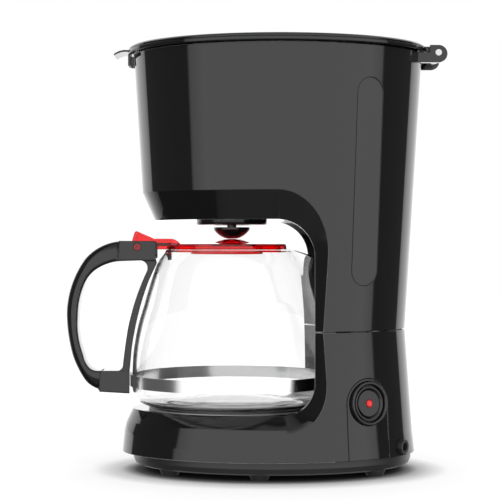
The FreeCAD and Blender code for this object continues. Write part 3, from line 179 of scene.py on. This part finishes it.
seen = w.mixShade(path.outputs["Is Transmission Ray"], seen, grey(room["through"]))
seen = w.mixShade(path.outputs["Is Camera Ray"], seen, grey(1.0))
background = w.add("ShaderNodeBackground", {"Color": seen, "Strength": 1.0})
w.add("ShaderNodeOutputWorld", {"Surface": background.outputs[0]})
print("stage: world")

# floor: seen and shadowed from above, open to what only reflects; near the object its colour and glow are
# darkened by ambient occlusion, a painted contact shadow
floorFacts = {"size": 6.0, "shade": 0.82, "glow": 0.42, "paintedContactShade": 0.03, "depth": 1.6, "samples": 16}
floorMesh = bpy.data.meshes.new("Floor")
half = floorFacts["size"] / 2
floorCorners = [(-half, -half, 0), (half, -half, 0), (half, half, 0), (-half, half, 0)]
floorMesh.from_pydata(floorCorners, [], [(0, 1, 2, 3)])
floor = bpy.data.objects.new("Floor", floorMesh)
bpy.context.scene.collection.objects.link(floor)
floorMaterial, f = newMaterial("Floor")
openness = f.add("ShaderNodeAmbientOcclusion", {"Distance": floorFacts["paintedContactShade"]},
                 samples=floorFacts["samples"]).outputs["AO"]
# painted contact shadow: ambient occlusion darkens the floor's colour and glow under and around the object
paintedContactShade = f.math("POWER", openness, floorFacts["depth"])
floorDiffuse = f.add("ShaderNodeBsdfDiffuse", {
    "Color": f.mixShade(paintedContactShade, grey(0.0), grey(floorFacts["shade"]))})
floorGlow = f.add("ShaderNodeEmission", {
    "Color": grey(1.0), "Strength": f.math("MULTIPLY", paintedContactShade, floorFacts["glow"])})
floorLook = f.add("ShaderNodeAddShader", {0: floorDiffuse.outputs[0], 1: floorGlow.outputs[0]})
floorPath = f.add("ShaderNodeLightPath")
mirrored = f.math("MULTIPLY", floorPath.outputs["Is Glossy Ray"],
                  f.math("SUBTRACT", 1.0, floorPath.outputs["Is Transmission Ray"]))
floorMix = f.add("ShaderNodeMixShader", {0: mirrored, 1: floorLook.outputs[0],
                                         2: f.add("ShaderNodeBsdfTransparent").outputs[0]})
f.add("ShaderNodeOutputMaterial", {"Surface": floorMix.outputs[0]})
floorMesh.materials.append(floorMaterial)
print("stage: floor")


# material effects
def makeGroup(name, outputs, build, **inputs):
    group = bpy.data.node_groups.new(name, "ShaderNodeTree")
    for socket, given in inputs.items():
        kind = "NodeSocketColor" if isinstance(given, tuple) else "NodeSocketFloat"
        group.interface.new_socket(socket, in_out="INPUT", socket_type=kind).default_value = given
    for socket, kind in outputs.items():
        group.interface.new_socket(socket, in_out="OUTPUT", socket_type=kind)
    g = Nodes(group)
    start = g.add("NodeGroupInput")
    end = g.add("NodeGroupOutput")
    for socket, made in build(g, start.outputs).items():
        group.links.new(made, end.inputs[socket])
    return group


def buildMoulded(g, given):
    place = g.add("ShaderNodeTexCoord").outputs["Object"]
    cloud = g.add("ShaderNodeTexNoise", {"Vector": place, "Scale": given["Cloud Scale"], "Detail": 3.0})
    fine = g.add("ShaderNodeTexNoise", {"Vector": place, "Scale": given["Grain Scale"], "Detail": 2.0})
    spread = g.math("SUBTRACT", cloud.outputs["Fac"], 0.5)
    roughness = g.math("ADD", given["Roughness"], g.math("MULTIPLY", spread, given["Roughness Spread"]))
    shift = g.math("MULTIPLY_ADD", spread, given["Tone Spread"], 1.0)
    shade = g.mixShade(1.0, given["Colour"], g.add(
        "ShaderNodeCombineColor", {0: shift, 1: shift, 2: shift}).outputs[0], "MULTIPLY")
    height = g.math("MULTIPLY", fine.outputs["Fac"], given["Grain Height"])
    return {"Colour": shade, "Roughness": roughness, "Height": height}


# a small radius on every corner, and a mask of the sharp corners with x below a limit, where painted edge
# light goes
def buildCorners(g, given):
    rounded = g.add("ShaderNodeBevel", {"Radius": given["Radius"]}, samples=6).outputs[0]
    flat = g.add("ShaderNodeNewGeometry").outputs["Normal"]
    along = g.add("ShaderNodeVectorMath", {0: rounded, 1: flat}, operation="DOT_PRODUCT").outputs["Value"]
    sharp = g.add("ShaderNodeMapRange", {
        "Value": along, "From Min": g.math("SUBTRACT", given["Sharp"], given["Softness"]),
        "From Max": given["Sharp"], "To Min": 1.0, "To Max": 0.0}).outputs[0]
    place = g.add("ShaderNodeSeparateXYZ", {0: g.add("ShaderNodeTexCoord").outputs["Object"]})
    mask = g.math("MULTIPLY", sharp, g.math("LESS_THAN", place.outputs[0], given["Within"]))
    return {"Normal": rounded, "Mask": mask}


moulded = makeGroup(
    "Moulded", {"Colour": "NodeSocketColor", "Roughness": "NodeSocketFloat", "Height": "NodeSocketFloat"},
    buildMoulded, **{"Colour": (0.01, 0.01, 0.01, 1), "Roughness": 0.1, "Roughness Spread": 0.03,
                     "Tone Spread": 0.1, "Cloud Scale": 14.0, "Grain Scale": 900.0, "Grain Height": 0.1})
corners = makeGroup("Corners", {"Normal": "NodeSocketVector", "Mask": "NodeSocketFloat"}, buildCorners,
                    Radius=0.0006, Sharp=0.97, Softness=0.15, Within=1.0)
bumpDistance = 0.0002


def surface(name, colour, roughness, grainScale=900.0, bump=0.05, spread=0.03, tone=0.1,
            edge=0.0, paintedEdgeLight=None, edgeSharp=0.97, edgeWithin=1.0, **principled):
    material, m = newMaterial(name)
    effect = m.add("ShaderNodeGroup", node_tree=moulded)
    given = {"Colour": colour + (1,), "Roughness": roughness, "Roughness Spread": spread,
             "Tone Spread": tone, "Grain Scale": grainScale}
    for socket, setting in given.items():
        m.feed(effect.inputs[socket], setting)
    dent = m.add("ShaderNodeBump", {
        "Height": effect.outputs["Height"], "Strength": bump, "Distance": bumpDistance})
    shade = effect.outputs["Colour"]
    if edge:
        corner = m.add("ShaderNodeGroup", node_tree=corners)
        for socket, setting in {"Radius": edge, "Sharp": edgeSharp, "Within": edgeWithin}.items():
            m.feed(corner.inputs[socket], setting)
        m.feed(dent.inputs["Normal"], corner.outputs["Normal"])
        # painted edge light: the mask mixes the colour towards a lighter or darker tone, a painted highlight
        # or painted shade along the edges
        if paintedEdgeLight:
            shade = m.mixShade(corner.outputs["Mask"], shade, paintedEdgeLight + (1,))
    shader = m.add("ShaderNodeBsdfPrincipled", {
        "Base Color": shade, "Roughness": effect.outputs["Roughness"], "Normal": dent.outputs[0]})
    for socket, setting in principled.items():
        m.feed(shader.inputs[socket.replace("_", " ")], setting)
    m.add("ShaderNodeOutputMaterial", {"Surface": shader.outputs[0]})
    return material


def clearGlass():
    material, m = newMaterial("Glass")
    shader = m.add("ShaderNodeBsdfPrincipled", {
        "Base Color": grey(1.0), "Roughness": 0.0, "Transmission Weight": 1.0, "IOR": 1.5})
    m.add("ShaderNodeOutputMaterial", {"Surface": shader.outputs[0]})
    return material


# the lens glows from a lamp behind its middle
lamp = {"strength": 1.0, "glow": [(0.0, (1.0, 0.7, 0.7, 1)), (0.42, (1.0, 0.35, 0.35, 1)),
                                  (0.6, (0.9, 0.01, 0.01, 1)), (1.0, (0.18, 0.0, 0.0, 1))]}


def litLens():
    material = surface("RedLens", (0.45, 0.01, 0.01), 0.12, bump=0.02)
    m = Nodes(material.node_tree)
    shader = next(node for node in m.tree.nodes if node.type == "BSDF_PRINCIPLED")
    low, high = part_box("led_lens")
    place = m.add("ShaderNodeTexCoord").outputs["Object"]
    away = m.add("ShaderNodeVectorMath", {0: place, 1: tuple((low + high) / 2)}, operation="DISTANCE")
    share = m.math("DIVIDE", away.outputs["Value"], (high.z - low.z) / 2)
    m.feed(shader.inputs["Emission Color"], m.ramp(share, lamp["glow"]))
    m.feed(shader.inputs["Emission Strength"], lamp["strength"])
    return material


# finishes, by the record's material slots
black = (0.006, 0.006, 0.0065)
finishes = {
    "casing": surface("GlossBlack", black, 0.045, bump=0.02, spread=0.02, edge=0.0006, IOR=1.5),
    "casing_matte": surface("SatinBlack", (0.02, 0.02, 0.021), 0.4, grainScale=2200.0, bump=0.3),
    "window": surface("SmokedWindow", (0.008, 0.008, 0.0085), 0.07, bump=0.02, IOR=1.5),
    "tank": surface("TankPlastic", (0.35, 0.36, 0.38), 0.3, Transmission_Weight=0.6),
    "filter_plastic": surface("FilterPlastic", (0.012, 0.012, 0.013), 0.18, grainScale=1800.0, bump=0.1),
    "mesh": surface("NylonMesh", (0.5, 0.42, 0.25), 0.5, grainScale=3000.0, bump=0.8),
    "glass": clearGlass(),
    "polished_steel": surface("PolishedSteel", (0.72, 0.72, 0.73), 0.2, bump=0.02, Metallic=1.0),
    "steel": surface("PlainSteel", (0.5, 0.5, 0.51), 0.3, bump=0.1, Metallic=1.0),
    "plate_coating": surface("PlateCoating", (0.02, 0.02, 0.02), 0.35, grainScale=2500.0, bump=0.3),
    "cast": surface("CastAluminium", (0.6, 0.6, 0.61), 0.5, grainScale=600.0, bump=0.6, Metallic=1.0),
    "hose": surface("Silicone", (0.68, 0.68, 0.67), 0.5, Transmission_Weight=0.3),
    "foot": surface("FootRubber", (0.02, 0.02, 0.02), 0.7, grainScale=2500.0, bump=0.4),
    # painted shade: dark red painted along the sharp edges of the red lid parts
    "red": surface("TranslucentRed", (0.93, 0.02, 0.03), 0.03, bump=0.01, spread=0.01, tone=0.02,
                   edge=0.0009, paintedEdgeLight=(0.12, 0.0, 0.0), Transmission_Weight=1.0, IOR=1.42),
    "lens": litLens(),
    "switch_plastic": surface("SwitchPlastic", (0.05, 0.05, 0.05), 0.5),
}
# pieces whose corners are rounder than their slot's finish, or whose edges carry a painted highlight
# painted highlight: a light grey line painted along the sharp edges of the carafe bay's opening, standing in
# for its reflection
housingBlack = surface("HousingBlack", black, 0.045, bump=0.02, spread=0.02, edge=0.0007,
                       paintedEdgeLight=(0.85, 0.85, 0.86), edgeSharp=0.88, edgeWithin=0.057, IOR=1.5)
special = {
    "upper_housing": housingBlack,
    "lower_housing": housingBlack,
    "carafe_handle": surface("HandleBlack", black, 0.1, edge=0.0016, IOR=1.5),
    "lid_pivot_pin": surface("PinRed", (0.35, 0.004, 0.008), 0.1, bump=0.02, edge=0.0008, IOR=1.5),
}
slots = {part["node"]: part["material_slot"] for part in frame["record"]["subparts"]}


def finish(mesh, node):
    mesh.materials.clear()
    mesh.materials.append(special.get(node, finishes[slots[node]]))


for node in slots:
    finish(nodes[node].data, node)
print("stage: materials")


# a finer piece in place of one of the frame's nodes
def addPiece(name, mesh, node):
    piece = bpy.data.objects.new(name, mesh)
    bpy.context.scene.collection.objects.link(piece)
    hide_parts(node)
    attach(piece, body_of(nodes[node])[0])
    finish(mesh, node)
    return piece


def meshFrom(bm, name):
    mesh = bpy.data.meshes.new(name)
    bm.to_mesh(mesh)
    bm.free()
    return mesh


# casing: the same shells, divided finely and shaded as true ellipses
casing = {"longest": 0.009, "sharp": 28, "passes": 5, "near": 0.00015, "slack": 0.002, "facing": 0.97,
          "weld": 0.000002}

# each is a wall between two ellipses: height, centre, half length and half width, in mm
mm = 0.001
casingForms = {
    "upper wall": ((105.85, 17.1, 95.4, 74.0), (309.5, 17.1, 108.3, 86.0)),
    "head chamfer": ((186.0, 17.1, 92.4, 66.0), (211.875, 17.1, 104.15, 83.625)),
    "base skirt": ((14.5, 10.0, 109.8, 81.0), (30.0, 9.9, 108.1, 80.0)),
    "lower wall": ((30.0, 9.9, 108.1, 80.0), (105.15, 17.1, 95.4, 74.0)),
    "deck top": ((37.0, 17.1, 113.3, 75.5), (46.0, 17.1, 108.9, 66.0)),
    "deck wall": ((6.48, 17.1, 125.3, 87.5), (37.0, 17.1, 113.3, 75.5)),
    "bay": ((36.0, -17.5, 89.0, 89.0), (196.0, -17.5, 89.0, 89.0)),
    "lid rim": ((310.8, 16.9, 112.5, 89.8), (312.8, 16.9, 112.5, 89.8)),
    "lid step": ((313.3, 16.9, 112.1, 89.4), (314.4, 16.9, 111.8, 89.1)),
    "lid shoulder": ((314.4, 16.9, 111.8, 89.1), (315.5, 16.9, 110.5, 87.8)),
    "lid crown": ((315.5, 16.9, 110.5, 87.8), (316.0, 16.9, 107.5, 84.8)),
}
forms = [tuple(tuple(size * mm for size in level) for level in form) for form in casingForms.values()]


def sectionAt(form, height):
    low, high = form
    share = (height - low[0]) / (high[0] - low[0])
    return share, [low[i] + (high[i] - low[i]) * share for i in (1, 2, 3)]


# the form's own normal at a place on it, or nothing away from it
def normalOn(form, place):
    low, high = form
    share, (centre, length, width) = sectionAt(form, place.z)
    if share < -casing["slack"] or share > 1 + casing["slack"]:
        return None
    x = place.x - centre
    y = place.y
    reach = math.sqrt((x / length) ** 2 + (y / width) ** 2)
    if abs(reach - 1) * min(length, width) > casing["near"]:
        return None
    fall = (x * x * (high[2] - low[2]) / length ** 3 + y * y * (high[3] - low[3]) / width ** 3
            + x * (high[1] - low[1]) / length ** 2) / (high[0] - low[0])
    return Vector((x / length ** 2, y / width ** 2, -fall)).normalized()


# the number of the form that a face lies on, counted from 1, or 0
def formOf(face):
    for i, form in enumerate(forms):
        found = [normalOn(form, vert.co) for vert in face.verts]
        if None in found:
            continue
        if abs(face.normal.dot(sum(found, Vector()).normalized())) > casing["facing"]:
            return i + 1
    return 0


def divideLong(bm, mark):
    for _ in range(casing["passes"]):
        long = [edge for edge in bm.edges if edge.calc_length() > casing["longest"]
                and any(face[mark] for face in edge.link_faces)]
        if not long:
            break
        bmesh.ops.subdivide_edges(bm, edges=long, cuts=1)
        bmesh.ops.triangulate(bm, faces=[face for face in bm.faces if len(face.verts) > 3])


def pullOnto(form, vert):
    _, (centre, length, width) = sectionAt(form, vert.co.z)
    reach = math.hypot((vert.co.x - centre) / length, vert.co.y / width)
    vert.co.x = centre + (vert.co.x - centre) / reach
    vert.co.y /= reach


def shadeAsForms(mesh):
    marks = [item.value for item in mesh.attributes["form"].data]
    normals = [Vector(item.vector) for item in mesh.corner_normals]
    for face in mesh.polygons:
        if not marks[face.index]:
            continue
        form = forms[marks[face.index] - 1]
        for corner in face.loop_indices:
            found = normalOn(form, mesh.vertices[mesh.loops[corner].vertex_index].co)
            if found:
                normals[corner] = found if found.dot(face.normal) > 0 else -found
    mesh.normals_split_custom_set([tuple(normal) for normal in normals])


def smoothCasing(node):
    bm = bmesh.new()
    bm.from_mesh(nodes[node].data)
    bmesh.ops.remove_doubles(bm, verts=bm.verts, dist=casing["weld"])
    mark = bm.faces.layers.int.new("form")
    for face in bm.faces:
        face[mark] = formOf(face)
    divideLong(bm, mark)
    for face in bm.faces:
        face.smooth = True
        if face[mark]:
            for vert in face.verts:
                pullOnto(forms[face[mark] - 1], vert)
    sharp = math.radians(casing["sharp"])
    for edge in bm.edges:
        edge.smooth = len(edge.link_faces) == 2 and edge.calc_face_angle(0) < sharp
    mesh = meshFrom(bm, node + "_fine")
    shadeAsForms(mesh)
    addPiece(node + "_fine", mesh, node)


for node in ("upper_housing", "lower_housing", "top_lid"):
    smoothCasing(node)
print("stage: casing")


# carafe glass: a turned wall with a flat lip, its corners rounded, drawn out to a spout
glassFacts = {"axis": -0.0175, "wall": 0.0022, "bottom": 0.0485, "top": 0.1642, "around": 240,
              "corner": 0.0005, "cornerSteps": 5, "dimple": 0.046, "dimpleRise": 0.0012, "dimpleEdge": 0.050,
              "heel": 0.061, "heelInset": 0.4, "belly": 0.0746, "bellyBottom": 0.0605, "bellyTop": 0.074,
              "flank": 0.0660, "flankTop": 0.1222, "shoulder": 0.0576, "shoulderTop": 0.1495,
              "mouth": 0.0500, "lip": 0.0012,
              "spoutFrom": 0.1300, "spoutReach": 0.0138, "spoutDrop": 0.0056, "spoutHalf": 27,
              "spoutNarrow": 1.6, "reachPower": 3, "dropPower": 4}


# points after start along an arc to end, bowed away from the axis by the sagitta
def bowed(start, end, sagitta, count):
    (ax, az), (bx, bz) = start, end
    chord = math.hypot(bx - ax, bz - az)
    outward = Vector(((bz - az) / chord, -(bx - ax) / chord))
    if sagitta == 0:
        return [(ax + (bx - ax) * i / count, az + (bz - az) * i / count) for i in range(1, count + 1)]
    radius = (chord * chord / 4 + sagitta * sagitta) / (2 * sagitta)
    half = math.asin(min(1.0, chord / 2 / radius))
    points = []
    for i in range(1, count + 1):
        angle = -half + 2 * half * i / count
        along = 0.5 + math.sin(angle) * radius / chord
        rise = radius * (math.cos(angle) - math.cos(half))
        points.append((ax + (bx - ax) * along + outward.x * rise, az + (bz - az) * along + outward.y * rise))
    return points


# one side of the wall, from the middle of the bottom to the lip: each stop has a sagitta and a count
def glassSide(inset):
    bottom = glassFacts["bottom"] + inset
    lipBottom = glassFacts["top"] - glassFacts["lip"]
    belly = glassFacts["belly"] - inset
    stops = [(glassFacts["dimple"], bottom + glassFacts["dimpleRise"], 0, 8),
             (glassFacts["dimpleEdge"], bottom, 0, 3),
             (glassFacts["heel"] - inset * glassFacts["heelInset"], bottom, 0, 4),
             (belly, glassFacts["bellyBottom"], 0.0036, 16), (belly, glassFacts["bellyTop"], 0, 6),
             (glassFacts["flank"] - inset, glassFacts["flankTop"], 0.0019, 26),
             (glassFacts["shoulder"] - inset, glassFacts["shoulderTop"], 0.0003, 18),
             (glassFacts["mouth"] - inset, lipBottom, 0.0007, 16)]
    points = [(0.0, bottom + glassFacts["dimpleRise"])]
    for radius, height, sagitta, count in stops:
        points += bowed(points[-1], (radius, height), sagitta, count)
    return points


def glassLip():
    corner, steps = glassFacts["corner"], glassFacts["cornerSteps"]
    outer = glassFacts["mouth"] - corner
    inner = glassFacts["mouth"] - glassFacts["wall"] + corner
    middle = glassFacts["top"] - corner
    points = []
    for radius, first in ((outer, 0), (inner, 90)):
        for i in range(steps + 1):
            angle = math.radians(first + 90 * i / steps)
            points.append((radius + corner * math.cos(angle), middle + corner * math.sin(angle)))
    return points


# where a point of the wall lies once the spout is drawn out
def drawnOut(radius, height, angle):
    away = math.atan2(math.sin(angle), math.cos(angle)) / math.radians(glassFacts["spoutHalf"])
    drawn = math.cos(away * math.pi / 2) ** glassFacts["spoutNarrow"] if abs(away) < 1 else 0.0
    share = max(0.0, height - glassFacts["spoutFrom"]) / (glassFacts["top"] - glassFacts["spoutFrom"])
    far = radius + glassFacts["spoutReach"] * (drawn * share ** glassFacts["reachPower"])
    z = height - glassFacts["spoutDrop"] * drawn * share ** glassFacts["dropPower"]
    return (glassFacts["axis"] + far * math.cos(angle), far * math.sin(angle), z)


def buildGlass():
    around = glassFacts["around"]
    bm = bmesh.new()
    rows = []
    for radius, height in glassSide(0.0) + glassLip() + glassSide(glassFacts["wall"])[::-1]:
        if radius == 0:
            rows.append([bm.verts.new((glassFacts["axis"], 0, height))])
            continue
        rows.append([bm.verts.new(drawnOut(radius, height, 2 * math.pi * k / around)) for k in range(around)])
    for lower, upper in zip(rows, rows[1:]):
        for k in range(around):
            ring = [lower[k % len(lower)], lower[(k + 1) % len(lower)],
                    upper[(k + 1) % len(upper)], upper[k % len(upper)]]
            bm.faces.new([vert for i, vert in enumerate(ring) if vert not in ring[:i]])
    bmesh.ops.recalc_face_normals(bm, faces=bm.faces)
    for face in bm.faces:
        face.smooth = True
    addPiece("carafe_glass_fine", meshFrom(bm, "carafe_glass_fine"), "carafe_glass")


buildGlass()
print("stage: carafe glass")


# carafe handle: the frame's own blocks and leg, with a rounded grip between them
grip = {"centre": (-0.112, 0.118), "width": 0.011, "inner": 0.0024, "round": 0.64, "edge": 0.58, "steps": 90,
        "top": (-0.1024, 0.165), "foot": (-0.1155, 0.070), "overTop": 0.012, "overFoot": 0.03,
        "innerTurns": (18, 36, 54, 72, 90), "edgeSteps": 10, "crown": 0.0004, "crownSide": 0.0003,
        "probes": (0.0007, 0.003, 0.006, 0.009), "probeFrom": 0.2,
        "footTop": 0.0765, "footFront": -0.0972, "footGrow": 0.0013}


# half of the grip's section, as depth from its inner face and half width
def gripSection(depth):
    wide = grip["width"]
    inner = grip["inner"]
    start = depth * (1 - grip["round"])
    points = [(0.0, 0.0), (0.0, (wide - inner) * 0.5), (0.0, wide - inner)]
    for turned in grip["innerTurns"]:
        angle = math.radians(turned)
        points.append((inner * (1 - math.cos(angle)), wide - inner * (1 - math.sin(angle))))
    points.append((start, wide))
    for i in range(1, grip["edgeSteps"] + 1):
        share = i / grip["edgeSteps"]
        points.append((start + (depth - start) * share, wide * (1 - (1 - grip["edge"]) * share ** 2)))
    points += [(depth + grip["crownSide"], wide * grip["edge"] * 0.5), (depth + grip["crown"], 0.0)]
    return points


# the inner and outer faces' places along a direction, taken where the grip is deepest
def gripReach(tree, middle, direction):
    nearest, furthest = [], []
    for wide in grip["probes"]:
        start = middle + Vector((0, wide, 0))
        near = tree.ray_cast(start, direction)[0]
        far = tree.ray_cast(start + direction * grip["probeFrom"], -direction)[0]
        nearest.append((near - start).length)
        furthest.append((far - start).length)
    return middle + direction * min(nearest), middle + direction * max(furthest)


# what is left of the frame's handle when its grip is cut away
def handleBlocks(mesh, top, foot):
    bm = bmesh.new()
    bm.from_mesh(mesh)
    bmesh.ops.remove_doubles(bm, verts=bm.verts, dist=casing["weld"])
    along = (foot - top).normalized()
    away = Vector((along.z, 0, -along.x))
    if away.x > 0:
        away = -away
    everything = bm.verts[:] + bm.edges[:] + bm.faces[:]
    cut = bmesh.ops.bisect_plane(bm, geom=everything, plane_co=top, plane_no=away, clear_outer=True)
    rim = [item for item in cut["geom_cut"] if isinstance(item, bmesh.types.BMEdge)]
    bmesh.ops.holes_fill(bm, edges=rim)
    for vert in bm.verts:
        if vert.co.z < grip["footTop"] and vert.co.x > grip["footFront"]:
            vert.co.x += grip["footGrow"]
    for face in bm.faces:
        face.smooth = False
    return bm


def buildHandle():
    source = nodes["carafe_handle"].data
    tree = BVHTree.FromPolygons([vert.co.copy() for vert in source.vertices],
                                [tuple(face.vertices) for face in source.polygons])
    middle, top, foot = (Vector((grip[name][0], 0, grip[name][1])) for name in ("centre", "top", "foot"))
    bm = handleBlocks(source, top, foot)
    first = math.atan2(top.z - middle.z, top.x - middle.x) - grip["overTop"]
    last = math.atan2(foot.z - middle.z, foot.x - middle.x) + 2 * math.pi + grip["overFoot"]
    rows = []
    for i in range(grip["steps"] + 1):
        angle = first + (last - first) * i / grip["steps"]
        direction = Vector((math.cos(angle), 0, math.sin(angle)))
        near, far = gripReach(tree, middle, direction)
        outline = gripSection((far - near).length - grip["crown"])
        ring = outline + [(depth, -wide) for depth, wide in outline[-2:0:-1]]
        rows.append([bm.verts.new(near + direction * depth + Vector((0, wide, 0))) for depth, wide in ring])
    for before, after in zip(rows, rows[1:]):
        for k in range(len(before)):
            ahead = (k + 1) % len(before)
            bm.faces.new((before[k], before[ahead], after[ahead], after[k])).smooth = True
    bm.faces.new(rows[0])
    bm.faces.new(rows[-1][::-1])
    bmesh.ops.recalc_face_normals(bm, faces=bm.faces)
    addPiece("carafe_handle_fine", meshFrom(bm, "carafe_handle_fine"), "carafe_handle")


buildHandle()
print("stage: carafe handle")


def buildSpring():
    mesh = nodes["drip_spring"].data.copy()
    for face in mesh.polygons:
        face.use_smooth = True
    spring = addPiece("drip_spring_coil", mesh, "drip_spring")
    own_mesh(spring)


buildSpring()
print("stage: spring")
